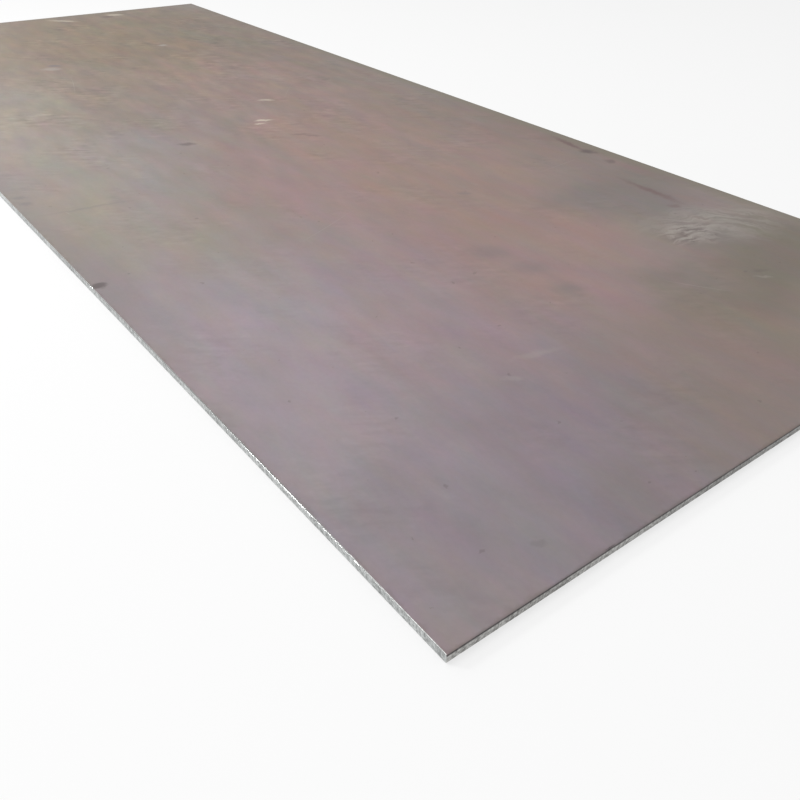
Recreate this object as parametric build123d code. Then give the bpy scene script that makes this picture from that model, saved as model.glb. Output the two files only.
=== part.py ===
from build123d import *
import os

# A hot-rolled steel plate: one piece of flat stock, lying on its underside.
# X runs across the width, Y along the length and Z up through the thickness.
# The origin is the middle of the underside. Lengths are in millimetres.

# The plate as it is ordered: 4 ft wide, 10 ft long and half an inch thick
PLATE_WIDTH = 1219.2
PLATE_LENGTH = 3048.0
PLATE_THICKNESS = 12.7

# Long edges, trimmed on the rolling line by rotary shears.
# From the top down an edge is drawn over, then rubbed bright by the blade, then torn.
SIDE_ROLL_OVER_WIDTH = 1.8
SIDE_ROLL_OVER_DEPTH = 0.7
SIDE_BURNISHED_HEIGHT = 4.4
SIDE_BLADE_CLEARANCE = 0.7

# Short ends, cut to length by a crop shear with more clearance between its blades
END_ROLL_OVER_WIDTH = 2.4
END_ROLL_OVER_DEPTH = 1.0
END_BURNISHED_HEIGHT = 3.6
END_BLADE_CLEARANCE = 1.0

# The lower corner of every edge, its burr knocked off so that plates stack and slide
LOWER_ARRIS = 0.4


def cut_profile(span, roll_width, roll_depth, burnished_height, clearance):
    """Half outline of a sheared section, from its centre line round one cut edge.

    Points are (across, up): the edge stands at half the span, where the blade rubbed it.
    """
    edge = span / 2
    torn_foot = edge - clearance
    drawn_height = PLATE_THICKNESS - roll_depth
    torn_top = drawn_height - burnished_height
    underside = Line((0, 0), (torn_foot - LOWER_ARRIS, 0))
    arris = Line(underside @ 1, (torn_foot, LOWER_ARRIS))
    torn = Line(arris @ 1, (edge, torn_top))
    burnished = Line(torn @ 1, (edge, drawn_height))
    top = Line((0, PLATE_THICKNESS), (edge - roll_width, PLATE_THICKNESS))
    drawn_over = TangentArc(top @ 1, burnished @ 1, tangent=top % 1)
    return Curve() + [underside, arris, torn, burnished, drawn_over, top]


def sheared_bar(section_plane, span, run, roll_width, roll_depth, burnished_height, clearance):
    """Bar with the same cut edge on both sides, run along the normal of its section plane."""
    half = cut_profile(span, roll_width, roll_depth, burnished_height, clearance)
    outline = half + mirror(half, about=Plane.YZ)
    section = make_face(outline.edges())
    return extrude(section_plane * section, amount=run / 2, both=True)


def steel_plate():
    """The plate: its lengthwise bar and its crosswise bar meet in one solid with square corners."""
    lengthwise = sheared_bar(
        Plane.XZ,
        PLATE_WIDTH,
        PLATE_LENGTH,
        SIDE_ROLL_OVER_WIDTH,
        SIDE_ROLL_OVER_DEPTH,
        SIDE_BURNISHED_HEIGHT,
        SIDE_BLADE_CLEARANCE,
    )
    crosswise = sheared_bar(
        Plane.YZ,
        PLATE_LENGTH,
        PLATE_WIDTH,
        END_ROLL_OVER_WIDTH,
        END_ROLL_OVER_DEPTH,
        END_BURNISHED_HEIGHT,
        END_BLADE_CLEARANCE,
    )
    return lengthwise & crosswise


os.makedirs("parts", exist_ok=True)
plate = steel_plate()
plate.label = "steel_plate"
export_step(plate, "parts/steel_plate.step")
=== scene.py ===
"""Dresses a hot-rolled steel plate: its rolled faces, its sheared edges, and the studio it is shown in."""

import logging
import math
from dataclasses import dataclass, field
from enum import Enum
from functools import cache
from typing import Any

import bpy
import numpy as np
from mathutils import Matrix, Vector


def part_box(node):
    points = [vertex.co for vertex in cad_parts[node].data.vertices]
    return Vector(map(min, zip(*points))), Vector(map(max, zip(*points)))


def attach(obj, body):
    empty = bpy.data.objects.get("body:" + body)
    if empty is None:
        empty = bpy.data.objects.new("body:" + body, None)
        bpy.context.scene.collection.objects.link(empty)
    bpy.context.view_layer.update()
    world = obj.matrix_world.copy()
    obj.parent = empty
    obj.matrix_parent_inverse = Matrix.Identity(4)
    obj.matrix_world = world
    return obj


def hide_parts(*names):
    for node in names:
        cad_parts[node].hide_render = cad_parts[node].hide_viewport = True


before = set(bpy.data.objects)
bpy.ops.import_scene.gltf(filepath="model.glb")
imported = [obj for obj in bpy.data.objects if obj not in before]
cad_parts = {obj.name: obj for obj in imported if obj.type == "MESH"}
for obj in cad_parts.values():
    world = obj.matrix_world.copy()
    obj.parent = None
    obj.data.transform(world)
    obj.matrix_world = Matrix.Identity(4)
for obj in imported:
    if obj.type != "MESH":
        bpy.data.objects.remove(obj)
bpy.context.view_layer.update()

LOG = logging.getLogger("steel_plate")
NODE = "steel_plate"
BODY = "root"
BAKE_MAP = "OFBake"
MM = 0.001
SHARP_ANGLE = math.radians(35)
SEED_SHIFT = (31.7, 17.3, 5.1)

Colour = tuple[float, float, float]
Socket = bpy.types.NodeSocket


def paint(red: int, green: int, blue: int) -> Colour:
    """Turns a colour as a screen shows it into the linear values that the renderer mixes.

    Args:
        red: Red, 0 to 255.
        green: Green, 0 to 255.
        blue: Blue, 0 to 255.

    Returns:
        The same colour in linear light, 0 to 1.
    """
    shares = (value / 255 for value in (red, green, blue))
    linear = [s / 12.92 if s <= 0.04045 else ((s + 0.055) / 1.055) ** 2.4 for s in shares]
    return (linear[0], linear[1], linear[2])


@dataclass
class Term:
    """A value on a node sheet, with which sums are written as in plain arithmetic."""

    sheet: "NodeSheet"
    socket: Socket

    def __add__(self, other: Any) -> "Term":
        """The sum of this value and another."""
        return self.sheet.work("ADD", self, other)

    def __sub__(self, other: Any) -> "Term":
        """This value less another."""
        return self.sheet.work("SUBTRACT", self, other)

    def __rsub__(self, other: Any) -> "Term":
        """Another value less this one."""
        return self.sheet.work("SUBTRACT", other, self)

    def __mul__(self, other: Any) -> "Term":
        """The product of this value and another."""
        return self.sheet.work("MULTIPLY", self, other)

    def __truediv__(self, other: Any) -> "Term":
        """This value divided by another."""
        return self.sheet.work("DIVIDE", self, other)

    def __rtruediv__(self, other: Any) -> "Term":
        """Another value divided by this one."""
        return self.sheet.work("DIVIDE", other, self)

    def __abs__(self) -> "Term":
        """This value without its sign."""
        return self.sheet.work("ABSOLUTE", self)

    def length(self) -> "Term":
        """The length of a vector."""
        return self.sheet.take("ShaderNodeVectorMath", {0: self}, "Value", operation="LENGTH")

    def is_vector(self) -> bool:
        """Whether the value has three sides."""
        return self.socket.type in ("VECTOR", "RGBA")


@dataclass
class NodeSheet:
    """A node tree with short calls for adding nodes and joining them."""

    tree: bpy.types.NodeTree

    def add(self, kind: str, values: dict[Any, Any] | None = None, **settings: Any) -> bpy.types.Node:
        """Adds one node.

        Args:
            kind: The node's type name.
            values: What goes into its inputs, by name or number: a constant, or a value to join.
            **settings: The node's own properties.

        Returns:
            The new node.
        """
        node = self.tree.nodes.new(kind)
        for name, value in settings.items():
            setattr(node, name, value)
        for key, value in (values or {}).items():
            self.feed(node.inputs[key], value)
        return node

    def feed(self, socket: Socket, value: Any) -> None:
        """Joins a value to an input, or sets the input's constant.

        Args:
            socket: The input.
            value: A value on the sheet or a constant. A colour may leave out its alpha.
        """
        source = value.socket if isinstance(value, Term) else value
        if isinstance(source, Socket):
            self.tree.links.new(source, socket)
        elif socket.type == "RGBA" and len(source) == 3:
            socket.default_value = (*source, 1.0)
        else:
            socket.default_value = source

    def take(self, kind: str, values: dict | None = None, output: int | str = 0, **settings: Any) -> Term:
        """Adds one node and returns one of its outputs, the first unless another is named."""
        return Term(self, self.add(kind, values, **settings).outputs[output])

    def outputs(self, kind: str, values: dict | None = None, **settings: Any) -> dict[str, Term]:
        """Adds one node and returns its outputs by name."""
        return {out.name: Term(self, out) for out in self.add(kind, values, **settings).outputs}

    def work(self, operation: str, *terms: Any, **settings: Any) -> Term:
        """Works out one sum, of vectors where one of its terms is a vector.

        Args:
            operation: The operation, such as ADD.
            *terms: Its terms in order, constants or values on the sheet.
            **settings: The node's own properties.

        Returns:
            The result.
        """
        flat = not any(isinstance(t, tuple) or isinstance(t, Term) and t.is_vector() for t in terms)
        kind = "ShaderNodeMath" if flat else "ShaderNodeVectorMath"
        return self.take(kind, dict(enumerate(terms)), operation=operation, **settings)

    def join(self, x: Any = 0.0, y: Any = 0.0, z: Any = 0.0) -> Term:
        """A vector made from its three sides."""
        return self.take("ShaderNodeCombineXYZ", {"X": x, "Y": y, "Z": z})

    def split(self, whole: Term) -> list[Term]:
        """The three sides of a vector, or the three parts of a colour."""
        return list(self.outputs("ShaderNodeSeparateXYZ", {0: whole}).values())

    def noise(
        self, place: Term, scale: Any, detail: Any = 3.0, rough: float = 0.5, output: int | str = 0
    ) -> Term:
        """Cloudy noise, from about 0.2 to 0.8, with so many clouds to the metre and finer ones laid on."""
        values = {"Vector": place, "Scale": scale, "Detail": detail, "Roughness": rough}
        return self.take("ShaderNodeTexNoise", values, output)

    def ramp(self, value: Any, start: Any, end: Any, low: Any = 0.0, high: Any = 1.0) -> Term:
        """Carries the range from start to end smoothly to the one from low to high."""
        values = {"Value": value, "From Min": start, "From Max": end, "To Min": low, "To Max": high}
        return self.take("ShaderNodeMapRange", values, interpolation_type="SMOOTHSTEP")

    def blend(self, share: Any, first: Any, second: Any, mode: str = "MIX") -> Term:
        """Lays one colour over another.

        Args:
            share: How much of the second shows.
            first: The colour below.
            second: The colour above.
            mode: How they mix.

        Returns:
            The mixed colour.
        """
        node = self.add("ShaderNodeMix", data_type="RGBA", blend_type=mode)
        for key, value in (("Factor_Float", share), ("A_Color", first), ("B_Color", second)):
            self.feed(next(s for s in node.inputs if s.identifier == key), value)
        return Term(self, next(s for s in node.outputs if s.identifier == "Result_Color"))


@dataclass
class GroupSheet(NodeSheet):
    """The sheet of a node group, with the values that the group is given."""

    given: dict[str, Term] = field(init=False)

    def __post_init__(self) -> None:
        """Reads the group's inputs."""
        self.given = self.outputs("NodeGroupInput")


def start_group(name: str, kind: str, inputs: dict[str, str], outputs: dict[str, str]) -> bpy.types.NodeTree:
    """Starts a node group.

    Args:
        name: Its name.
        kind: Its type name.
        inputs: Its inputs and their kinds.
        outputs: Its outputs and their kinds.

    Returns:
        The group's tree.
    """
    tree = bpy.data.node_groups.new(name, kind)
    for side, sockets in (("INPUT", inputs), ("OUTPUT", outputs)):
        for label, socket in sockets.items():
            tree.interface.new_socket(label, in_out=side, socket_type=f"NodeSocket{socket}")
    return tree


class Effect(Enum):
    """Surface effects, each one a node group: its name, and its inputs besides the place."""

    CLOUD = ("cloudy tone", ("Stretch", "Scale", "Detail", "Contrast"))
    PATCH = ("soft patch", ("Centre", "Half Size", "Turn", "Softness", "Strength"))
    MOTTLE = ("uneven tint", ("Scale", "Detail", "Swing"))
    RIM = ("worn rim", ("Half Size", "Reach"))
    RIPPLES = ("clustered strokes", ("Turn", "Spacing", "Run"))
    SWIRLS = ("wiped arcs", ("Centre", "Spacing", "Run"))
    SCRATCHES = ("scratches", ("Spacing", "Run", "Width"))
    GRIT = ("grit", ("Spacing", "Size"))
    BLOOM = ("rust bloom", ("Scale", "Amount"))


VECTOR_INPUTS = ("Place", "Stretch", "Centre", "Half Size", "Swing")


class EffectSheet(GroupSheet):
    """Draws the shared effects, each one on a sheet of its own."""

    def fitted(self, centre: Any, size: Term) -> Term:
        """The given place from a centre, in axes that are turned as given.

        Args:
            centre: The centre, in metres.
            size: What the place is measured in, in metres.

        Returns:
            The fitted place.
        """
        turn = self.join(z=self.given["Turn"])
        values = {"Vector": self.given["Place"], "Location": centre, "Rotation": turn, "Scale": size}
        return self.take("ShaderNodeMapping", values, vector_type="TEXTURE")

    def cells(self) -> tuple[dict[str, Term], list[Term]]:
        """Scattered cells of the given spacing.

        Returns:
            What is known of each cell by name, and three chances for it.
        """
        values = {"Vector": self.given["Place"], "Scale": 1.0 / self.given["Spacing"]}
        cells = self.outputs("ShaderNodeTexVoronoi", values, voronoi_dimensions="2D", feature="F1")
        return cells, self.split(cells["Color"])

    def cloud(self) -> Term:
        """Clouds that may be stretched, pushed apart in tone by the contrast.

        Returns:
            A mask from 0 to 1.
        """
        given = self.given
        clouds = self.noise(given["Place"] * given["Stretch"], given["Scale"], given["Detail"], rough=0.55)
        return self.work("ADD", (clouds - 0.5) * given["Contrast"], 0.5, use_clamp=True)

    def patch(self) -> Term:
        """One oval patch, as strong as given in its middle, whose rim fades over its softness."""
        local, soft = self.fitted(self.given["Centre"], self.given["Half Size"]), self.given["Softness"]
        return self.ramp(local.length(), 1.0 - soft, soft + 1.0, self.given["Strength"], 0.0)

    def mottle(self) -> Term:
        """Uneven tints from patches as wide as a hand down to specks, as a colour to multiply with."""
        tints = self.noise(self.given["Place"], self.given["Scale"], self.given["Detail"], 0.7, "Color")
        return (tints - (0.5, 0.5, 0.5)) * self.given["Swing"] + (1.0, 1.0, 1.0)

    def rim(self) -> Term:
        """A ragged band along the rim of a rectangle about the origin.

        Returns:
            A mask that is 1 at the rim.
        """
        away = self.split(self.given["Half Size"] - abs(self.given["Place"]))
        ragged = self.noise(self.given["Place"], scale=45.0, detail=4.0, rough=0.7) * 3.0 - 0.8
        return self.ramp(self.work("MINIMUM", *away[:2]), 0.0, self.given["Reach"] * ragged, 1.0, 0.0)

    def ripples(self) -> Term:
        """Short strokes in clusters, where the scale was rubbed or has begun to lift.

        Returns:
            A value below 0 on a dark stroke, above 0 on a pale one, and 0 between the clusters.
        """
        local = self.fitted((0.0, 0.0, 0.0), self.join(self.given["Run"], self.given["Spacing"], 1.0))
        strokes = self.noise(local, scale=1.0, detail=2.0, rough=0.6)
        clusters = self.noise(self.given["Place"], scale=6.0, detail=4.0, rough=0.6)
        return (strokes - 0.5) * self.ramp(clusters, 0.44, 0.66)

    def swirls(self) -> Term:
        """Arcs side by side about a centre, such as a wiping rag or a dragged sling leaves.

        Returns:
            A mask from 0, in a groove, to 1, on a pale line.
        """
        x, y, _ = self.split(self.given["Place"] - self.given["Centre"])
        rings = self.join(x, y).length() / self.given["Spacing"]
        bearing = self.work("ARCTAN2", y, x) * 0.15 / self.given["Run"]
        return self.ramp(self.noise(self.join(rings, bearing), scale=1.0, detail=2.0), 0.32, 0.68)

    def scratches(self) -> Term:
        """Fine scratches that point every way, slightly bowed, at most one in each cell of a spacing.

        Returns:
            A mask that is 1 on a scratch.
        """
        cells, chance = self.cells()
        values = {"Vector": self.given["Place"] - cells["Position"], "Angle": chance[0] * math.tau}
        x, y, _ = self.split(self.take("ShaderNodeVectorRotate", values, rotation_type="Z_AXIS"))
        across = abs(y + x * x * (chance[1] - 0.5))
        line = self.ramp(across, 0.0, self.given["Width"], 1.0, 0.0)
        along = self.ramp(abs(x), 0.0, self.given["Run"] * chance[2], 1.0, 0.0)
        return line * along * self.ramp(chance[1], 0.3, 1.0)

    def grit(self) -> Term:
        """Scattered specks of uneven size and ragged outline.

        Returns:
            A mask that is 1 on a speck.
        """
        cells, chance = self.cells()
        ragged = self.noise(self.given["Place"], scale=400.0, rough=0.6) + 0.5
        rim = self.given["Size"] / self.given["Spacing"] * chance[1] * ragged
        return self.ramp(cells["Distance"], rim * 0.5, rim, 1.0, 0.0)

    def bloom(self) -> Term:
        """A dusting of rust, strongest in clouds and grainy inside them.

        Returns:
            A mask from 0 to 1.
        """
        broad = self.noise(self.given["Place"], self.given["Scale"], detail=4.0, rough=0.6)
        fine = self.noise(self.given["Place"], scale=420.0, rough=0.7)
        start = 0.85 - self.given["Amount"] * 0.5
        return self.ramp(broad + (fine - 0.5) * 0.5, start, start + 0.25)


@cache
def effect_tree(effect: Effect) -> bpy.types.NodeTree:
    """Builds the node group of an effect once and hands out the same one from then on.

    Args:
        effect: Which effect.

    Returns:
        Its node group.
    """
    name, inputs = effect.value
    kinds = {each: "Vector" if each in VECTOR_INPUTS else "Float" for each in ("Place", *inputs)}
    result, kind = ("Tint", "Color") if effect is Effect.MOTTLE else ("Mask", "Float")
    tree = start_group(name, "ShaderNodeTree", kinds, {result: kind})
    sheet = EffectSheet(tree)
    sheet.add("NodeGroupOutput", {result: getattr(sheet, effect.name.lower())()})
    return tree


@dataclass(frozen=True)
class Clouds:
    """A field of clouds: how many to the metre, how detailed, how strong, and how they are stretched."""

    scale: float
    detail: float
    contrast: float
    stretch: tuple[float, float, float] = (1.0, 0.7, 1.0)


class FinishSheet(NodeSheet):
    """The sheet of a new material, with its shader and the place on the object in metres."""

    def __init__(self, name: str) -> None:
        """Starts a material.

        Args:
            name: Its name.
        """
        self.material = bpy.data.materials.new(name)
        self.material.use_nodes = True
        super().__init__(self.material.node_tree)
        self.shader = next(n for n in self.tree.nodes if n.type == "BSDF_PRINCIPLED")
        self.place = self.take("ShaderNodeTexCoord", output="Object")

    def effect(self, effect: Effect, values: dict[str, Any], place: Term | None = None) -> Term:
        """Lays a shared effect over the object, or over another place that is given."""
        values = {"Place": place or self.place, **values}
        return self.take("ShaderNodeGroup", values, node_tree=effect_tree(effect))

    def clouds(self, clouds: Clouds) -> Term:
        """Lays one field of clouds."""
        return self.effect(Effect.CLOUD, {name.title(): value for name, value in vars(clouds).items()})

    def wander(self, scale: float, reach: float) -> Term:
        """The place shaken sideways, so that an oval laid there gets a natural outline.

        Args:
            scale: Shakes to the metre.
            reach: How far it is shaken, in metres.

        Returns:
            The shaken place.
        """
        shake = self.noise(self.place, scale, detail=4.0, rough=0.6, output="Color")
        return (shake - (0.5, 0.5, 0.5)) * (reach, reach, 0.0) + self.place

    def relief(self, height: Term, strength: float, rise: float) -> Term:
        """The slopes of a fine relief, from its height, its strength and how high it stands in metres."""
        return self.take("ShaderNodeBump", {"Height": height, "Strength": strength, "Distance": rise})

    def dress(self, values: dict[str, Any]) -> bpy.types.Material:
        """Joins the finish to the shader.

        Args:
            values: What goes into the shader's inputs, by name.

        Returns:
            The material.
        """
        for name, value in values.items():
            self.feed(self.shader.inputs[name], value)
        return self.material


@dataclass(frozen=True)
class Mark:
    """An oval tone on the rolled upper face, in metres from the plate's middle, its turn in degrees."""

    x: float
    y: float
    half_width: float
    half_length: float
    tone: Colour
    strength: float
    turn: float = 0.0
    softness: float = 0.6


PALE_VIOLET = paint(160, 148, 153)
DULL_VIOLET = paint(137, 126, 133)
ROSE = paint(159, 133, 131)
MAUVE = paint(157, 137, 140)
WARM_BROWN = paint(154, 130, 121)
SLATE = paint(127, 119, 114)
UMBER = paint(122, 112, 101)
OLIVE = paint(140, 123, 103)
MOSS = paint(128, 121, 106)
SAGE = paint(153, 143, 130)
TAUPE = paint(137, 122, 111)
COOL_GREY = paint(146, 139, 139)
CHALK = paint(212, 201, 182)
BONE = paint(173, 167, 159)
SOOT = paint(92, 79, 78)
ASH = paint(118, 111, 113)
RUSSET = paint(112, 88, 86)

# Broad tones that the scale took on as it cooled, from the near end to the far one
STAINS = (
    Mark(-0.46, -1.08, 0.21, 0.46, PALE_VIOLET, 0.9),
    Mark(-0.46, -0.42, 0.18, 0.30, SAGE, 0.65),
    Mark(-0.18, -1.44, 0.42, 0.27, DULL_VIOLET, 0.8),
    Mark(0.08, -1.46, 0.25, 0.12, TAUPE, 0.7),
    Mark(0.04, -0.86, 0.22, 0.46, ROSE, 0.75),
    Mark(0.20, -0.50, 0.30, 0.55, WARM_BROWN, 0.8),
    Mark(-0.14, -0.42, 0.15, 0.32, ROSE, 0.6),
    Mark(-0.20, -0.86, 0.13, 0.20, MAUVE, 0.5),
    Mark(-0.28, -1.14, 0.15, 0.12, MAUVE, 0.5),
    Mark(0.30, -1.30, 0.34, 0.16, TAUPE, 0.7),
    Mark(0.43, -1.21, 0.24, 0.12, UMBER, 0.85, 5.0),
    Mark(0.42, -0.88, 0.14, 0.13, SLATE, 0.75, 30.0),
    Mark(0.40, -1.06, 0.12, 0.08, SLATE, 0.65),
    Mark(0.54, -0.55, 0.12, 0.34, RUSSET, 0.22),
    Mark(0.60, -0.62, 0.10, 0.50, TAUPE, 0.5),
    Mark(0.62, -0.64, 0.06, 0.36, RUSSET, 0.3),
    Mark(0.47, -0.16, 0.16, 0.20, TAUPE, 0.5),
    Mark(-0.36, -0.08, 0.17, 0.22, COOL_GREY, 0.5),
    Mark(-0.40, -0.28, 0.12, 0.20, PALE_VIOLET, 0.25),
    Mark(-0.48, 0.45, 0.20, 0.80, SAGE, 0.7),
    Mark(-0.10, 0.55, 0.22, 0.45, OLIVE, 0.55),
    Mark(0.26, 0.35, 0.26, 0.55, WARM_BROWN, 0.85),
    Mark(0.12, 1.15, 0.55, 0.50, OLIVE, 0.9),
    Mark(0.50, 0.70, 0.16, 0.70, TAUPE, 0.75),
    Mark(0.34, 1.04, 0.08, 0.24, MOSS, 0.6, 24.0),
    Mark(-0.31, -1.47, 0.05, 0.06, SLATE, 0.3, -35.0),
)

# Small marks of handling: smudges, flecks of scale and chalk, a few dark strokes
MARKS = (
    Mark(0.000, -0.915, 0.034, 0.026, ASH, 0.36, -35.0, 0.9),
    Mark(0.022, -1.003, 0.028, 0.020, ASH, 0.34, -35.0, 0.9),
    Mark(0.015, -1.093, 0.024, 0.018, ASH, 0.38, -35.0, 0.9),
    Mark(0.571, -0.575, 0.007, 0.048, RUSSET, 0.9, -8.0),
    Mark(0.566, -0.645, 0.013, 0.017, SOOT, 0.8, 20.0),
    Mark(0.556, -0.720, 0.009, 0.011, SOOT, 0.5),
    Mark(0.485, -0.885, 0.008, 0.062, RUSSET, 0.75, -3.0, 0.9),
    Mark(0.455, -0.972, 0.013, 0.009, RUSSET, 0.5, -33.0),
    Mark(-0.173, -1.204, 0.030, 0.006, BONE, 0.22, -11.0, 0.9),
    Mark(-0.243, -1.231, 0.014, 0.006, BONE, 0.18, -30.0),
    Mark(0.155, 0.137, 0.020, 0.006, CHALK, 0.45, -33.0),
    Mark(0.063, -0.018, 0.018, 0.006, CHALK, 0.75, -15.0),
    Mark(0.043, -0.040, 0.012, 0.004, CHALK, 0.6, -15.0),
    Mark(0.201, 0.887, 0.014, 0.010, BONE, 0.6, -33.0),
    Mark(0.062, 1.440, 0.046, 0.012, CHALK, 0.5, -42.0),
    Mark(0.260, 1.455, 0.026, 0.014, CHALK, 0.6, -33.0),
    Mark(0.225, 1.430, 0.020, 0.014, SOOT, 0.5, -33.0),
    Mark(-0.205, 0.767, 0.024, 0.018, BONE, 0.45, -33.0),
    Mark(-0.185, 0.800, 0.018, 0.012, ASH, 0.7, -33.0),
    Mark(-0.176, -0.082, 0.018, 0.008, SOOT, 0.55, -33.0),
    Mark(0.080, -0.165, 0.020, 0.006, SOOT, 0.35, -33.0),
    Mark(0.098, -0.190, 0.018, 0.006, SOOT, 0.3, -33.0),
    Mark(0.153, -0.679, 0.014, 0.008, ASH, 0.4, -33.0),
    Mark(0.337, -1.238, 0.013, 0.006, SOOT, 0.3, -37.0),
    Mark(0.322, -1.256, 0.014, 0.004, BONE, 0.25, -37.0),
    Mark(-0.498, -0.323, 0.070, 0.004, ASH, 0.3, -8.0, 0.9),
    Mark(-0.589, -0.200, 0.012, 0.008, ASH, 0.5, -30.0),
    Mark(-0.588, -0.238, 0.012, 0.008, ASH, 0.5, -30.0),
    # A dark spot laid over the notch in the left rim
    Mark(-0.599, -0.646, 0.012, 0.011, SOOT, 1.0, -20.0, 0.4),
    Mark(-0.439, -1.474, 0.008, 0.005, ASH, 0.4, -30.0),
    # Darker strips along the right rim, the far rim and the left rim
    Mark(0.612, -0.150, 0.032, 1.350, MOSS, 0.75, 0.0, 0.5),
    Mark(0.100, 1.526, 0.600, 0.030, MOSS, 0.5, 0.0, 0.5),
    Mark(-0.608, -0.440, 0.045, 0.540, ASH, 0.38, 0.0, 0.8),
)

# The pale scuff near the right edge: its body, and the grooved end where it starts
SCUFF_BODY = Mark(0.455, -1.065, 0.125, 0.065, BONE, 0.9, -18.0, 0.7)
SCUFF_START = Mark(0.365, -1.068, 0.055, 0.036, BONE, 1.0, -10.0, 0.6)
SCUFF_CENTRE = (0.33, -1.20, 0.0)


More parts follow.
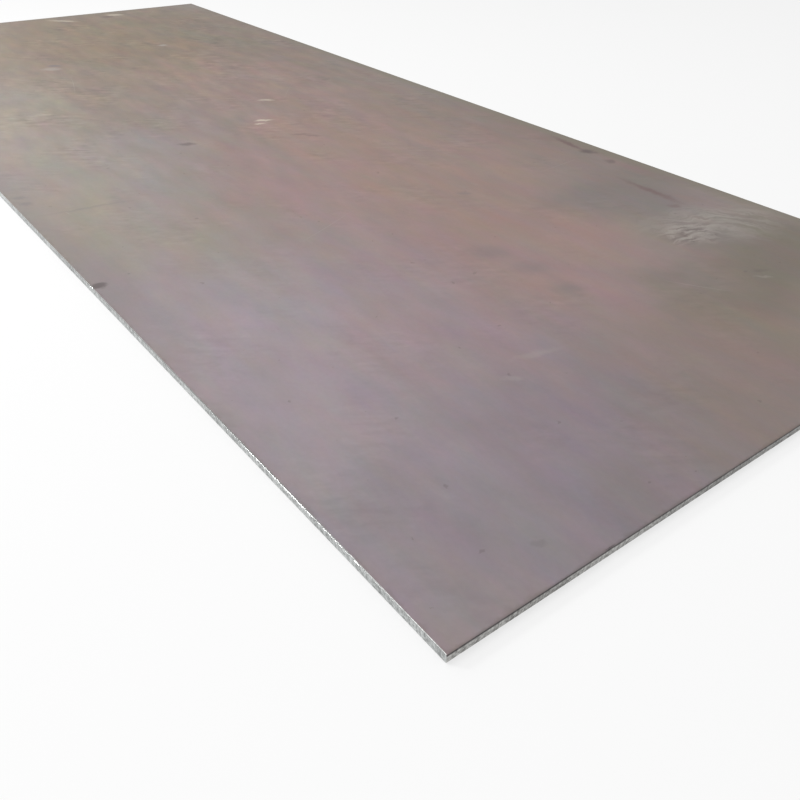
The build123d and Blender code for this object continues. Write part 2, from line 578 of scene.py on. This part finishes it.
@dataclass(frozen=True)
class RolledScale:
    """The finish of the rolled faces: mill scale in several tones, handled but not rusted through."""

    half_size: tuple[float, float, float]
    thickness: float
    name: str = "rolled_scale"
    cool: Colour = paint(145, 134, 137)
    warm: Colour = paint(151, 134, 126)
    rim_tint: Colour = (0.70, 0.69, 0.63)
    rim_reach: float = 8 * MM
    metallic: float = 0.25
    roughness: float = 0.45
    relief: float = 0.25
    relief_rise: float = 0.3 * MM
    mark_depth: float = 6 * MM
    stain_drift: tuple[float, float] = (3.2, 0.32)
    mark_drift: tuple[float, float] = (40.0, 0.024)
    scuff_drift: tuple[float, float] = (12.0, 0.09)
    rolled_stretch: tuple[float, float, float] = (1.0, 0.38, 1.0)
    tint_swing: tuple[float, float, float] = (0.40, 0.32, 0.40)
    tint_share: tuple[float, float, float, float] = (-1.2, 0.0, 0.85, 1.0)
    cloud_share: tuple[float, float, float, float] = (-0.9, 0.9, 0.10, 0.36)
    wash: Clouds = Clouds(1.7, 3.0, 3.0)
    middle_clouds: Clouds = Clouds(28.0, 4.0, 2.0, (1.0, 0.4, 1.0))
    fine_clouds: Clouds = Clouds(170.0, 2.0, 1.6)
    rolled_streaks: Clouds = Clouds(30.0, 2.0, 1.6, (1.0, 0.05, 1.0))
    lightness: float = 0.903
    ripple_turn: float = math.radians(-33.0)
    ripple_strength: float = 3.1
    fine_share: float = 0.05
    streak_share: float = 0.06
    groove_share: float = 0.45
    scratch_share: float = 0.3
    grit_share: float = 0.3
    rim_share: float = 0.6

    def mask(self, sheet: FinishSheet, mark: Mark, place: Term) -> Term:
        """The oval mask of one mark.

        Args:
            sheet: The material's sheet.
            mark: The mark.
            place: Where the surface is, in metres.

        Returns:
            The mask, weighted with the mark's strength.
        """
        values = {
            "Centre": (mark.x, mark.y, self.thickness),
            "Half Size": (mark.half_width, mark.half_length, self.mark_depth),
            "Turn": math.radians(mark.turn),
            "Softness": mark.softness,
            "Strength": mark.strength,
        }
        return sheet.effect(Effect.PATCH, values, place)

    def marked(self, sheet: FinishSheet, colour: Term, marks: tuple[Mark, ...], place: Term) -> Term:
        """Lays marks over a colour.

        Args:
            sheet: The material's sheet.
            colour: The colour below.
            marks: The marks, the lowest first.
            place: Where the surface is, in metres.

        Returns:
            The colour with the marks.
        """
        for mark in marks:
            colour = sheet.blend(self.mask(sheet, mark, place), colour, mark.tone)
        return colour

    def ground(self, sheet: FinishSheet, middle: Term) -> Term:
        """The colour of the scale: stains, tints, and clouds and ripples that grow stronger to the far end.

        Args:
            sheet: The material's sheet.
            middle: The clouds of middle size.

        Returns:
            The colour.
        """
        colour = sheet.blend(sheet.clouds(self.wash), self.cool, self.warm)
        colour = self.marked(sheet, colour, STAINS, sheet.wander(*self.stain_drift))
        values = {"Scale": 17.0, "Detail": 5.0, "Swing": self.tint_swing}
        tints = sheet.effect(Effect.MOTTLE, values, sheet.place * self.rolled_stretch)
        along = sheet.split(sheet.place)[1]
        colour = sheet.blend(sheet.ramp(along, *self.tint_share), colour, tints, "MULTIPLY")
        share = sheet.ramp(along, *self.cloud_share)
        fine, streaks = sheet.clouds(self.fine_clouds), sheet.clouds(self.rolled_streaks)
        ripples = sheet.effect(Effect.RIPPLES, {"Turn": self.ripple_turn, "Spacing": 0.016, "Run": 0.04})
        lightness = (middle - 0.5) * share + self.lightness + fine * self.fine_share
        lightness = lightness + streaks * self.streak_share + ripples * (share * self.ripple_strength)
        return sheet.take("ShaderNodeHueSaturation", {"Color": colour, "Value": lightness})

    def scuffed(self, sheet: FinishSheet, colour: Term, body: Term, place: Term) -> Term:
        """Wipes the pale scuff over a colour.

        Args:
            sheet: The material's sheet.
            colour: The colour below.
            body: The mask of the scuff's body.
            place: Where the surface is, in metres.

        Returns:
            The colour with the scuff.
        """
        arcs = sheet.effect(Effect.SWIRLS, {"Centre": SCUFF_CENTRE, "Spacing": 0.011, "Run": 0.05}, place)
        start = self.mask(sheet, SCUFF_START, place) * self.groove_share
        colour = sheet.blend(body * (arcs * 0.45 + 0.12), colour, SCUFF_BODY.tone)
        colour = sheet.blend(start * (1.0 - arcs), colour, SOOT)
        return sheet.blend(start * arcs, colour, SCUFF_START.tone)

    def material(self) -> bpy.types.Material:
        """Builds the finish.

        Returns:
            The material.
        """
        sheet = FinishSheet(self.name)
        middle = sheet.clouds(self.middle_clouds)
        shaken, bent = sheet.wander(*self.mark_drift), sheet.wander(*self.scuff_drift)
        body = self.mask(sheet, SCUFF_BODY, bent)
        scratches = sheet.effect(Effect.SCRATCHES, {"Spacing": 0.30, "Run": 0.12, "Width": 0.0012})
        grit = sheet.effect(Effect.GRIT, {"Spacing": 0.12, "Size": 0.004}, shaken)
        rim = sheet.effect(Effect.RIM, {"Half Size": self.half_size, "Reach": self.rim_reach})
        colour = self.marked(sheet, self.ground(sheet, middle), MARKS, shaken)
        colour = self.scuffed(sheet, colour, body, bent)
        colour = sheet.blend(scratches * self.scratch_share, colour, BONE)
        colour = sheet.blend(grit * self.grit_share, colour, SOOT)
        colour = sheet.blend(rim * self.rim_share, colour, self.rim_tint, "MULTIPLY")
        dullness = middle * 0.10 + self.roughness - scratches * 0.12 + body * 0.08
        height = sheet.noise(sheet.place, scale=380.0, detail=2.0, rough=0.6) - scratches * 0.8
        slopes = sheet.relief(height, self.relief, self.relief_rise)
        return sheet.dress(
            {"Base Color": colour, "Metallic": self.metallic, "Roughness": dullness, "Normal": slopes}
        )


class Zone(Enum):
    """The bands of the plate's surface, each one cut or rolled in its own way."""

    ROLLED = 0
    SIDE_BEND = 1
    SIDE_BAND = 2
    SIDE_TEAR = 3
    END_BEND = 4
    END_BAND = 5
    END_TEAR = 6


@dataclass(frozen=True)
class CutSteel:
    """The finish of one band of a sheared edge."""

    name: str
    pale: Colour
    dark: Colour
    metallic: float
    roughness: float
    relief: float
    rust: float
    stroke_rise: float = 0.1
    # Painted shade: how dark the colour is made towards the right, 1 for none
    right_shade: float = 1.0
    grain: float = 0.0
    rust_tone: Colour = paint(126, 98, 76)
    rust_share: float = 0.6
    relief_rise: float = 0.6 * MM

    def material(self) -> bpy.types.Material:
        """Builds the finish.

        Returns:
            The material.
        """
        sheet = FinishSheet(self.name)
        strokes = sheet.clouds(Clouds(250.0, 5.0, 3.4, (1.0, 1.0, self.stroke_rise)))
        blotches = sheet.clouds(Clouds(16.0, 4.0, 2.0, (1.0, 1.0, 1.0)))
        grains = (sheet.noise(sheet.place, scale=900.0, detail=2.0, rough=0.7) - 0.5) * self.grain
        tone = strokes * 0.65 + blotches * 0.35 + grains * 0.9
        rust = sheet.effect(Effect.BLOOM, {"Scale": 9.0, "Amount": self.rust})
        colour = sheet.blend(rust * self.rust_share, sheet.blend(tone, self.dark, self.pale), self.rust_tone)
        # Painted shade: the colour darkens from the left edge, x = -0.6 m, to the middle, and stays that dark
        # to the right
        shade = sheet.ramp(sheet.split(sheet.place)[0], -0.6, 0.0, 1.0, self.right_shade)
        colour = sheet.take("ShaderNodeHueSaturation", {"Color": colour, "Value": shade})
        dullness = sheet.ramp(tone, 0.0, 1.0, self.roughness + 0.1, self.roughness - 0.1)
        slopes = sheet.relief(grains * 1.5 + strokes, self.relief, self.relief_rise)
        return sheet.dress(
            {"Base Color": colour, "Metallic": self.metallic, "Roughness": dullness, "Normal": slopes}
        )


@dataclass(frozen=True)
class ShearCut:
    """The section that one shear leaves on an edge, in metres, and the zones of its bands, lowest first."""

    roll_width: float
    roll_depth: float
    burnished: float
    clearance: float
    zones: tuple[Zone, Zone, Zone]
    line_below: float
    line_share: float
    arris: float = 0.4 * MM

    def torn_top(self, thickness: float) -> float:
        """The height at which the torn band gives way to the burnished one."""
        return thickness - self.roll_depth - self.burnished

    def zone(self, height: float, thickness: float) -> Zone:
        """The zone of the edge at a height: the drawn-over corner keeps its scale down to the blade's line;
        on the ends that dark band is partly painted shade.

        Args:
            height: The height above the underside.
            thickness: The plate's thickness.

        Returns:
            The zone there.
        """
        if height > thickness - self.line_share * self.roll_depth:
            return Zone.ROLLED
        borders = (self.torn_top(thickness), thickness - self.roll_depth - self.line_below)
        return self.zones[sum(height > border for border in borders)]

    def inset(self, height: float, thickness: float) -> float:
        """How far inside the plate's outline the cut face lies at a height.

        Args:
            height: The height above the underside.
            thickness: The plate's thickness.

        Returns:
            The distance in from the outline.
        """
        torn_top = self.torn_top(thickness)
        if height < self.arris:
            return self.clearance + self.arris - height
        if height < torn_top:
            return self.clearance * (torn_top - height) / (torn_top - self.arris)
        if height <= thickness - self.roll_depth:
            return 0.0
        radius = (self.roll_width**2 + self.roll_depth**2) / (2 * self.roll_depth)
        drop = height - (thickness - radius)
        return self.roll_width - math.sqrt(max(radius**2 - drop**2, 0.0))


class Island(Enum):
    """Where each side of the skin lies on the square bake map: left, right, bottom and top."""

    UPPER = (0.0, 1.0, 0.0, 0.56)
    UNDER = (0.0, 1.0, 0.58, 0.83)
    LEFT = (0.0, 1.0, 0.85, 0.89)
    RIGHT = (0.0, 1.0, 0.90, 0.94)
    NEAR = (0.0, 0.49, 0.95, 0.99)
    FAR = (0.51, 1.0, 0.95, 0.99)


@dataclass
class SteelPlate:
    """The plate's skin: one closed mesh, fine at its sheared edges and coarse on its faces."""

    width: float
    length: float
    thickness: float
    side: ShearCut = ShearCut(
        1.8 * MM, 0.7 * MM, 4.4 * MM, 0.7 * MM, (Zone.SIDE_TEAR, Zone.SIDE_BAND, Zone.SIDE_BEND), 0.0, 0.1
    )
    end: ShearCut = ShearCut(
        2.4 * MM, 1.0 * MM, 3.6 * MM, 1.0 * MM, (Zone.END_TEAR, Zone.END_BAND, Zone.END_BEND), 0.9 * MM, 0.4
    )
    cells_across: int = 34
    cells_along: int = 84
    steps_per_cell: int = 12
    face_margin: float = 16 * MM
    support: float = 1 * MM
    torn_levels: int = 8
    burnished_levels: int = 5
    bend_levels: int = 5
    tear_fade: float = 1.2 * MM
    border_reach: float = 3 * MM
    knock_reach: float = 4 * MM
    points: list[tuple[float, float, float]] = field(default_factory=list)
    faces: list[tuple[int, ...]] = field(default_factory=list)
    zones: list[int] = field(default_factory=list)
    islands: list[Island] = field(default_factory=list)

    def levels(self) -> list[float]:
        """The heights at which the edge's section is read.

        Returns:
            The heights, from the underside up.
        """
        torn_tops = sorted(cut.torn_top(self.thickness) for cut in (self.side, self.end))
        bend_starts = sorted(self.thickness - cut.roll_depth for cut in (self.side, self.end))
        torn = np.linspace(self.side.arris, torn_tops[0], self.torn_levels)
        burnished = np.linspace(torn_tops[1], bend_starts[0], self.burnished_levels)
        rise = np.sin(np.linspace(0, math.pi / 2, self.bend_levels))
        bend = bend_starts[1] + (self.thickness - bend_starts[1]) * rise
        return [0.0, *torn, *burnished, *bend]

    def outline(self, height: float, more: float = 0.0) -> tuple[float, float]:
        """Half the plate's width and half its length at a height, or as much more inside that as is said."""
        half_width = self.width / 2 - self.side.inset(height, self.thickness)
        return half_width - more, self.length / 2 - self.end.inset(height, self.thickness) - more

    def steps(self) -> tuple[int, int]:
        """How many fine steps an end and a long edge take."""
        return self.cells_across * self.steps_per_cell, self.cells_along * self.steps_per_cell

    def walk(self) -> list[tuple[float, float]]:
        """Steps once round the outline, from the near left corner along the near end.

        Returns:
            Places on a square from -1 to 1.
        """
        across, along = self.steps()
        there = [2 * step / across - 1 for step in range(across)]
        up = [2 * step / along - 1 for step in range(along)]
        near = [(s, -1.0) for s in there]
        right = [(1.0, s) for s in up]
        far = [(-s, 1.0) for s in there]
        left = [(-1.0, -s) for s in up]
        return near + right + far + left

    def add_ring(self, half: tuple[float, float], height: float) -> int:
        """Adds the points of one fine ring.

        Args:
            half: Half the ring's width and length.
            height: Its height.

        Returns:
            The number of its first point.
        """
        first = len(self.points)
        self.points += [(x * half[0], y * half[1], height) for x, y in self.walk()]
        return first

    def add_band(self, low: int, high: int, end_zone: Zone, side_zone: Zone, on_top: bool = False) -> None:
        """Joins two fine rings with four-sided faces.

        Args:
            low: The first point of the outer or lower ring.
            high: The first point of the inner or upper ring.
            end_zone: The zone of the faces on the two ends.
            side_zone: The zone of the faces on the two long edges.
            on_top: Whether the band lies on the upper face.
        """
        across, along = self.steps()
        near_and_right = (Island.NEAR,) * across + (Island.RIGHT,) * along
        sides = near_and_right + (Island.FAR,) * across + (Island.LEFT,) * along
        for step, island in enumerate(sides):
            after = (step + 1) % len(sides)
            self.faces.append((low + step, low + after, high + after, high + step))
            self.zones.append((end_zone if island in (Island.NEAR, Island.FAR) else side_zone).value)
            self.islands.append(Island.UPPER if on_top else island)

    def add_face(self, rim: int, height: float, island: Island) -> None:
        """Fills a rolled face: fans from the fine ring at its rim to a coarse grid.

        Args:
            rim: The first point of the fine ring.
            height: The face's height.
            island: UPPER or UNDER.
        """
        half = self.outline(height, self.face_margin)
        first = len(self.points)
        columns, rows = self.cells_across, self.cells_along
        for row in range(rows + 1):
            for column in range(columns + 1):
                x, y = (2 * column / columns - 1) * half[0], (2 * row / rows - 1) * half[1]
                self.points.append((x, y, height))

        def at(column: int, row: int) -> int:
            """The number of a grid point."""
            return first + row * (columns + 1) + column

        added: list[tuple[int, ...]] = []
        for row in range(rows):
            for column in range(columns):
                corners = ((0, 0), (1, 0), (1, 1), (0, 1))
                added.append(tuple(at(column + right, row + up) for right, up in corners))
        loop = [at(c, 0) for c in range(columns)] + [at(columns, r) for r in range(rows)]
        loop += [at(columns - c, rows) for c in range(columns)] + [at(0, rows - r) for r in range(rows)]
        steps = self.steps_per_cell
        for cell, inner in enumerate(loop):
            after = loop[(cell + 1) % len(loop)]
            outer = [rim + (cell * steps + step) % (len(loop) * steps) for step in range(steps + 1)]
            for step in range(steps):
                added.append((outer[step], outer[step + 1], inner if step < steps // 2 else after))
            added.append((outer[steps // 2], after, inner))
        order = -1 if island is Island.UNDER else 1
        self.faces += [face[::order] for face in added]
        self.zones += [Zone.ROLLED.value] * len(added)
        self.islands += [island] * len(added)

    def skin(self) -> bpy.types.Mesh:
        """Builds the plate's closed skin.

        Returns:
            Its mesh, with the attributes that the relief reads and a flat layout for baking.
        """
        heights = self.levels()
        rings = [self.add_ring(self.outline(height), height) for height in heights]
        for low in range(len(rings) - 1):
            middle = (heights[low] + heights[low + 1]) / 2
            zones = [cut.zone(middle, self.thickness) for cut in (self.end, self.side)]
            self.add_band(rings[low], rings[low + 1], *zones)
        inner = self.add_ring(self.outline(self.thickness, self.support), self.thickness)
        self.add_band(rings[-1], inner, Zone.ROLLED, Zone.ROLLED, on_top=True)
        self.add_face(inner, self.thickness, Island.UPPER)
        self.add_face(rings[0], 0.0, Island.UNDER)
        mesh = bpy.data.meshes.new(f"{NODE}_skin")
        mesh.from_pydata(self.points, [], self.faces)
        self.mark(mesh, heights)
        self.unwrap(mesh, heights)
        return mesh

    def mark(self, mesh: bpy.types.Mesh, heights: list[float]) -> None:
        """Writes the attributes that the relief reads.

        Args:
            mesh: The skin.
            heights: The heights of its rings.
        """
        walk = np.array(self.walk())
        on_side = np.abs(walk) == 1.0
        outward = np.zeros((len(walk), 3))
        outward[:, :2] = np.sign(walk) * on_side
        outward /= np.linalg.norm(outward, axis=1, keepdims=True)
        on_end = on_side[:, 1] & ~on_side[:, 0]
        steps = np.diff(walk * (self.width / 2, self.length / 2), axis=0, prepend=walk[:1] * 0)
        run = np.cumsum(np.hypot(steps[:, 0], steps[:, 1]))
        torn_top = np.where(on_end, self.end.torn_top(self.thickness), self.side.torn_top(self.thickness))
        bend = np.where(on_end, self.end.roll_depth, self.side.roll_depth)
        height = np.array(heights)[:, None]
        cut = (height > self.side.arris / 2) & (height < self.thickness - 0.01 * MM)
        torn = np.clip((torn_top - height) / self.tear_fade, 0, 1) * cut
        fields = {
            "torn": torn,
            "scored": (1 - torn) * cut,
            "border": np.clip(1 - np.abs(height - torn_top) / self.border_reach, 0, 1) * cut,
            "upper": np.clip(1 - (self.thickness - bend - height) / self.knock_reach, 0, 1) * cut,
            "run": run * np.ones_like(height),
        }
        rest = len(self.points) - len(walk) * len(heights)
        for name, values in fields.items():
            padded = np.pad(values.ravel(), (0, rest)).astype(np.float32)
            mesh.attributes.new(name, "FLOAT", "POINT").data.foreach_set("value", padded)
        vectors = np.pad(np.tile(outward, (len(heights), 1)), ((0, rest), (0, 0))).astype(np.float32)
        mesh.attributes.new("outward", "FLOAT_VECTOR", "POINT").data.foreach_set("vector", vectors.ravel())
        mesh.attributes.new("zone", "INT", "FACE").data.foreach_set("value", np.array(self.zones, np.int32))

    def unwrap(self, mesh: bpy.types.Mesh, heights: list[float]) -> None:
        """Lays every side of the skin on its island of the bake map.

        Args:
            mesh: The skin.
            heights: The heights of its rings.
        """
        places = np.array(self.points) + (self.width / 2, self.length / 2, 0)
        section = np.array([(self.side.inset(height, self.thickness), height) for height in heights])
        steps = np.diff(section, axis=0, prepend=section[:1])
        climb = np.cumsum(np.hypot(steps[:, 0], steps[:, 1]))
        rise = np.ones(len(places))
        ring = len(self.walk())
        rise[: ring * len(heights)] = np.repeat(climb / climb[-1], ring)
        x, y = places[:, 0] / self.width, places[:, 1] / self.length
        shares = {island: (y, rise) for island in (Island.LEFT, Island.RIGHT)}
        shares |= {island: (x, rise) for island in (Island.NEAR, Island.FAR)}
        shares |= {island: (y, x) for island in (Island.UPPER, Island.UNDER)}
        numbers = np.array([loop.vertex_index for loop in mesh.loops])
        sides = np.repeat(
            np.array([list(Island).index(island) for island in self.islands]),
            [len(face) for face in self.faces],
        )
        flat = np.zeros((len(numbers), 2))
        for number, island in enumerate(Island):
            chosen = sides == number
            left, right, bottom, top = island.value
            along, up = (share[numbers[chosen]] for share in shares[island])
            flat[chosen, 0] = left + (right - left) * along
            flat[chosen, 1] = bottom + (top - bottom) * up
        mesh.uv_layers.new(name=BAKE_MAP).data.foreach_set("uv", flat.astype(np.float32).ravel())


@dataclass(frozen=True)
class EdgeRelief:
    """Relief that the shears, the rolls and handling leave. It only takes metal away."""

    striation: float = 0.14 * MM
    tear: float = 0.45 * MM
    border_wave: float = 4.0 * MM
    nick: float = 0.9 * MM
    nicks_per_metre: float = 1.8
    notch_place: tuple[float, float] = (-0.6096, -0.645)
    notch_size: float = 9 * MM
    notch_depth: float = 2.0 * MM
    flatness: float = 0.5 * MM
    seed: int = 7

    def values(self, plate: SteelPlate) -> dict[str, Any]:
        """The modifier's inputs by name, for the plate that gets the relief."""
        own = {name.replace("_", " ").title(): value for name, value in vars(self).items()}
        return own | {"Notch Place": (*self.notch_place, plate.thickness), "Thickness": plate.thickness}

    def tree(self, materials: dict[Zone, bpy.types.Material], values: dict[str, Any]) -> bpy.types.NodeTree:
        """Builds the geometry nodes.

        Args:
            materials: The finish of each zone.
            values: The modifier's inputs by name.

        Returns:
            The node tree.
        """
        kinds = {float: "Float", int: "Int", tuple: "Vector"}
        inputs = {"Geometry": "Geometry"} | {name: kinds[type(value)] for name, value in values.items()}
        tree = start_group("edge relief", "GeometryNodeTree", inputs, {"Geometry": "Geometry"})
        sheet = GroupSheet(tree)
        given = sheet.given

        def held(name: str, kind: str = "FLOAT") -> Term:
            """Reads one of the skin's attributes."""
            return sheet.take("GeometryNodeInputNamedAttribute", {"Name": name}, data_type=kind)

        spot = sheet.take("GeometryNodeInputPosition")
        place = spot + given["Seed"] * SEED_SHIFT
        upright, level = place * (1.0, 1.0, 0.06), place * (1.0, 1.0, 0.0)
        scores = sheet.noise(upright, scale=190.0, detail=2.0, rough=0.6) * given["Striation"]
        tears = sheet.noise(place, scale=260.0, detail=4.0, rough=0.65) * given["Tear"]
        run = {"W": held("run") + given["Seed"], "Scale": given["Nicks Per Metre"]}
        cells = sheet.outputs("ShaderNodeTexVoronoi", run, voronoi_dimensions="1D")
        chance = sheet.split(cells["Color"])
        reach = sheet.ramp(chance[1], 0.0, 1.0, 0.006, 0.022)
        dent = sheet.ramp(cells["Distance"], 0.0, reach, 1.0, 0.0)
        nick = dent * given["Nick"] * sheet.ramp(chance[0], 0.4, 1.0)
        away = (spot - given["Notch Place"]).length()
        notch = sheet.ramp(away, 0.0, given["Notch Size"], 1.0, 0.0) * given["Notch Depth"]
        knocks = (nick + notch) * held("upper")
        depth = scores * held("scored") + tears * held("torn") + knocks
        sag = sheet.noise(place, scale=1.1, detail=2.0, rough=0.4) * given["Flatness"]
        sag = sag * (sheet.split(spot)[2] / given["Thickness"])
        wave = sheet.noise(level, scale=60.0, rough=0.6) - 0.5
        lift = wave * given["Border Wave"] * held("border") - sag - knocks
        offset = held("outward", "FLOAT_VECTOR") * (depth * -1.0) + sheet.join(z=lift)
        moved = sheet.take("GeometryNodeSetPosition", {"Geometry": given["Geometry"], "Offset": offset})
        out = sheet.take("GeometryNodeRealizeInstances", {0: moved})
        zone = held("zone", "INT")
        for number, material in materials.items():
            chosen = sheet.work("COMPARE", zone, number.value, 0.5)
            dressing = {"Geometry": out, "Selection": chosen, "Material": material}
            out = sheet.take("GeometryNodeSetMaterial", dressing)
        sheet.add("NodeGroupOutput", {0: out})
        return tree


def run_nodes(
    name: str, base: bpy.types.Object, tree: bpy.types.NodeTree, values: dict[str, Any]
) -> bpy.types.Object:
    """Runs geometry nodes on an object and keeps the result as a plain mesh.

    Args:
        name: The piece's name.
        base: The object that the nodes work on, which is removed.
        tree: The nodes.
        values: The modifier's inputs by name.

    Returns:
        The finished piece, at the origin.
    """
    modifier = base.modifiers.new("make", "NODES")
    modifier.node_group = tree
    identifiers = {
        item.name: item.identifier
        for item in tree.interface.items_tree
        if item.item_type == "SOCKET" and item.in_out == "INPUT"
    }
    for key, value in values.items():
        modifier[identifiers[key]] = value
    bpy.context.view_layer.update()
    made = bpy.data.meshes.new_from_object(base.evaluated_get(bpy.context.evaluated_depsgraph_get()))
    made.name = name
    blank = base.data
    bpy.data.objects.remove(base)
    bpy.data.meshes.remove(blank)
    return place_object(name, made)


def place_object(name: str, data: Any) -> bpy.types.Object:
    """Puts an object in the scene at the origin.

    Args:
        name: Its name.
        data: Its mesh, light or camera.

    Returns:
        The object.
    """
    thing = bpy.data.objects.new(name, data)
    bpy.context.scene.collection.objects.link(thing)
    return thing


@dataclass(frozen=True)
class Viewpoint:
    """The camera, measured from the plate's near left upper corner."""

    back: tuple[float, float, float] = (-0.328, -0.337, 0.615)
    heading: float = math.radians(38.36)
    down: float = math.radians(35.35)
    roll: float = math.radians(1.41)
    lens_mm: float = 36.6
    sensor_mm: float = 36.0

    def place(self, corner: Vector) -> bpy.types.Object:
        """Sets the camera up.

        Args:
            corner: The plate's near left upper corner.

        Returns:
            The camera.
        """
        level_share, drop = math.cos(self.down), math.sin(self.down)
        ahead = Vector((math.sin(self.heading) * level_share, math.cos(self.heading) * level_share, -drop))
        level = Vector((math.cos(self.heading), -math.sin(self.heading), 0.0))
        upward = level.cross(ahead)
        right = level * math.cos(self.roll) + upward * math.sin(self.roll)
        up = upward * math.cos(self.roll) - level * math.sin(self.roll)
        data = bpy.data.cameras.new("camera")
        data.lens = self.lens_mm
        data.sensor_width = self.sensor_mm
        camera = place_object("camera", data)
        turn = Matrix((right, up, -ahead)).transposed()
        camera.matrix_world = Matrix.Translation(corner + Vector(self.back)) @ turn.to_4x4()
        bpy.context.scene.camera = camera
        return camera


@dataclass(frozen=True)
class Softbox:
    """A soft lamp, aimed at a place on the plate."""

    name: str
    place: tuple[float, float, float]
    aim: tuple[float, float, float]
    size: float
    watts: float

    def hang(self) -> bpy.types.Object:
        """Puts the lamp up, out of the camera's sight.

        Returns:
            The lamp.
        """
        data = bpy.data.lights.new(self.name, "AREA")
        data.size = self.size
        data.energy = self.watts
        lamp = place_object(self.name, data)
        aim = Vector(self.aim) - Vector(self.place)
        lamp.matrix_world = Matrix.Translation(self.place) @ aim.to_track_quat("-Z", "Y").to_matrix().to_4x4()
        lamp.visible_camera = False
        return lamp


@dataclass
class Studio:
    """The pale floor, the plain soft light and the camera."""

    floor_half: float = 200.0
    floor_drop: float = 0.2 * MM
    floor_tone: Colour = (0.86, 0.86, 0.86)
    backdrop_share: float = 0.65
    sky_strength: float = 0.64
    viewpoint: Viewpoint = field(default_factory=Viewpoint)
    softboxes: tuple[Softbox, ...] = (
        Softbox("overhead_softbox", (-1.6, 0.2, 4.4), (0.0, 0.0, 0.0), 3.0, 70.0),
        Softbox("far_softbox", (-0.8, 6.0, 3.0), (-0.3, 0.0, 0.0), 3.4, 45.0),
        Softbox("left_softbox", (-3.0, 1.45, 2.0), (-0.6, -1.3, 0.0), 0.6, 55.0),
    )

    def lay_floor(self) -> None:
        """Lays the floor just under the plate."""
        half, low = self.floor_half, -self.floor_drop
        mesh = bpy.data.meshes.new("floor")
        corners = [(-half, -half, low), (half, -half, low), (half, half, low), (-half, half, low)]
        mesh.from_pydata(corners, [], [(0, 1, 2, 3)])
        floor = place_object("floor", mesh)
        sheet = FinishSheet("pale_floor")
        finish = {"Base Color": self.floor_tone, "Roughness": 0.9, "Specular IOR Level": 0.0}
        mesh.materials.append(sheet.dress(finish))
        rays = sheet.outputs("ShaderNodeLightPath")
        seen = sheet.work("MAXIMUM", rays["Is Camera Ray"], rays["Is Glossy Ray"])
        seen = sheet.work("MAXIMUM", seen, rays["Is Transmission Ray"]) * self.backdrop_share
        white = sheet.take("ShaderNodeEmission", {"Color": (1.0, 1.0, 1.0), "Strength": 1.0})
        mixed = sheet.take("ShaderNodeMixShader", {0: seen, 1: sheet.shader.outputs[0], 2: white})
        output = next(n for n in sheet.tree.nodes if n.type == "OUTPUT_MATERIAL")
        sheet.feed(output.inputs["Surface"], mixed)

    def light(self) -> None:
        """Lights the scene with an even sky and the softboxes."""
        scene = bpy.context.scene
        world = bpy.data.worlds.new("studio")
        world.use_nodes = True
        sky = world.node_tree.nodes["Background"]
        sky.inputs["Color"].default_value = (1.0, 1.0, 1.0, 1.0)
        sky.inputs["Strength"].default_value = self.sky_strength
        scene.world = world
        scene.view_settings.view_transform = "Standard"
        for softbox in self.softboxes:
            softbox.hang()

    def build(self, plate: tuple[Vector, Vector]) -> None:
        """Builds the studio round the plate.

        Args:
            plate: The plate's lowest and highest corners.
        """
        low, high = plate
        self.lay_floor()
        self.light()
        self.viewpoint.place(Vector((low.x, low.y, high.z)))


SIDE_PALE, SIDE_DARK = paint(216, 219, 218), paint(126, 128, 127)
# The ends' cut steel is a darker copy of the sides': partly a duller finish, partly painted shade
END_PALE, END_DARK = paint(216, 216, 213), paint(106, 104, 101)
# Painted shade on the ends' cut steel, which darkens towards the right
END_PAINTED_SHADE = 0.66
CUT_FINISHES = {
    Zone.SIDE_BEND: CutSteel("side_bend", paint(172, 173, 172), paint(124, 125, 124), 0.85, 0.2, 0.1, 0.15),
    Zone.SIDE_BAND: CutSteel("side_band", SIDE_PALE, SIDE_DARK, 0.7, 0.38, 0.3, 0.2),
    Zone.SIDE_TEAR: CutSteel("side_tear", SIDE_PALE, SIDE_DARK, 0.6, 0.55, 0.6, 0.35, 0.6, grain=1.0),
    # The ends' drawn-over corners: dark scale, painted darker still to stand in for the shade along the top
    # of each end
    Zone.END_BEND: CutSteel("end_bend", paint(98, 94, 94), paint(68, 65, 66), 0.3, 0.5, 0.1, 0.1),
    Zone.END_BAND: CutSteel("end_band", END_PALE, END_DARK, 0.7, 0.42, 0.3, 0.25, right_shade=END_PAINTED_SHADE),
    Zone.END_TEAR: CutSteel("end_tear", END_PALE, END_DARK, 0.5, 0.6, 0.6, 0.4, 0.6, END_PAINTED_SHADE, 1.0),
}


def build_plate(low: Vector, high: Vector) -> bpy.types.Object:
    """Builds the dressed plate.

    Args:
        low: The plate's lowest corner.
        high: Its highest corner.

    Returns:
        The finished piece.
    """
    half_size = ((high.x - low.x) / 2, (high.y - low.y) / 2, 0.0)
    materials = {Zone.ROLLED: RolledScale(half_size, high.z - low.z).material()}
    materials |= {zone: finish.material() for zone, finish in CUT_FINISHES.items()}
    plate = SteelPlate(high.x - low.x, high.y - low.y, high.z - low.z)
    relief = EdgeRelief()
    values = relief.values(plate)
    piece = run_nodes("plate", place_object("blank", plate.skin()), relief.tree(materials, values), values)
    piece.data.shade_smooth()
    piece.data.set_sharp_from_angle(angle=SHARP_ANGLE)
    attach(piece, BODY)
    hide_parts(NODE)
    LOG.info("%s: %d points, %d faces", piece.name, len(piece.data.vertices), len(piece.data.polygons))
    return piece


def main() -> None:
    """Builds the plate and the studio."""
    logging.basicConfig(level=logging.INFO, format="%(name)s: %(message)s")
    low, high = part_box(NODE)
    build_plate(low, high)
    Studio().build((low, high))


if __name__ == "__main__":
    main()
